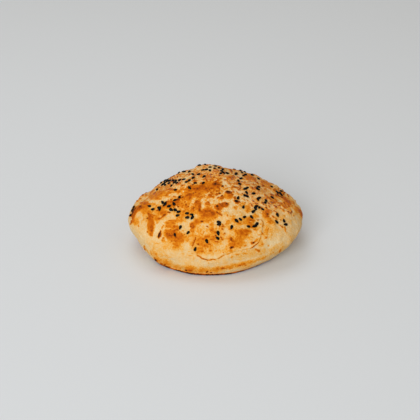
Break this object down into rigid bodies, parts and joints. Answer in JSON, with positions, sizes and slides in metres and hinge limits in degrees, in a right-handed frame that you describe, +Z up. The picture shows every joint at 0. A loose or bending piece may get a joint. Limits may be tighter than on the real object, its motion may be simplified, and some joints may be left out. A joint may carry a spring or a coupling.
{
  "type": "puffed lavash",
  "caption": "Round flatbread puffed into a low dome, with a blistered golden crust, black seeds baked into the top and a flat foot to rest on.",
  "frame": {"origin": "on the flat foot, under the middle of the box round the bread", "axes": "+Z up, +X along the bread's longer side, -Y towards the side shown in the picture"},
  "size_m": [0.1567, 0.1278, 0.0714],
  "materials": {
    "crust": "baked wheat crust, matt, toasted golden to brown on the blisters and pale between them",
    "seeds": "black sesame, satin"
  },
  "bodies": {
    "root": {"lavash": "crust"}
  },
  "joints": []
}
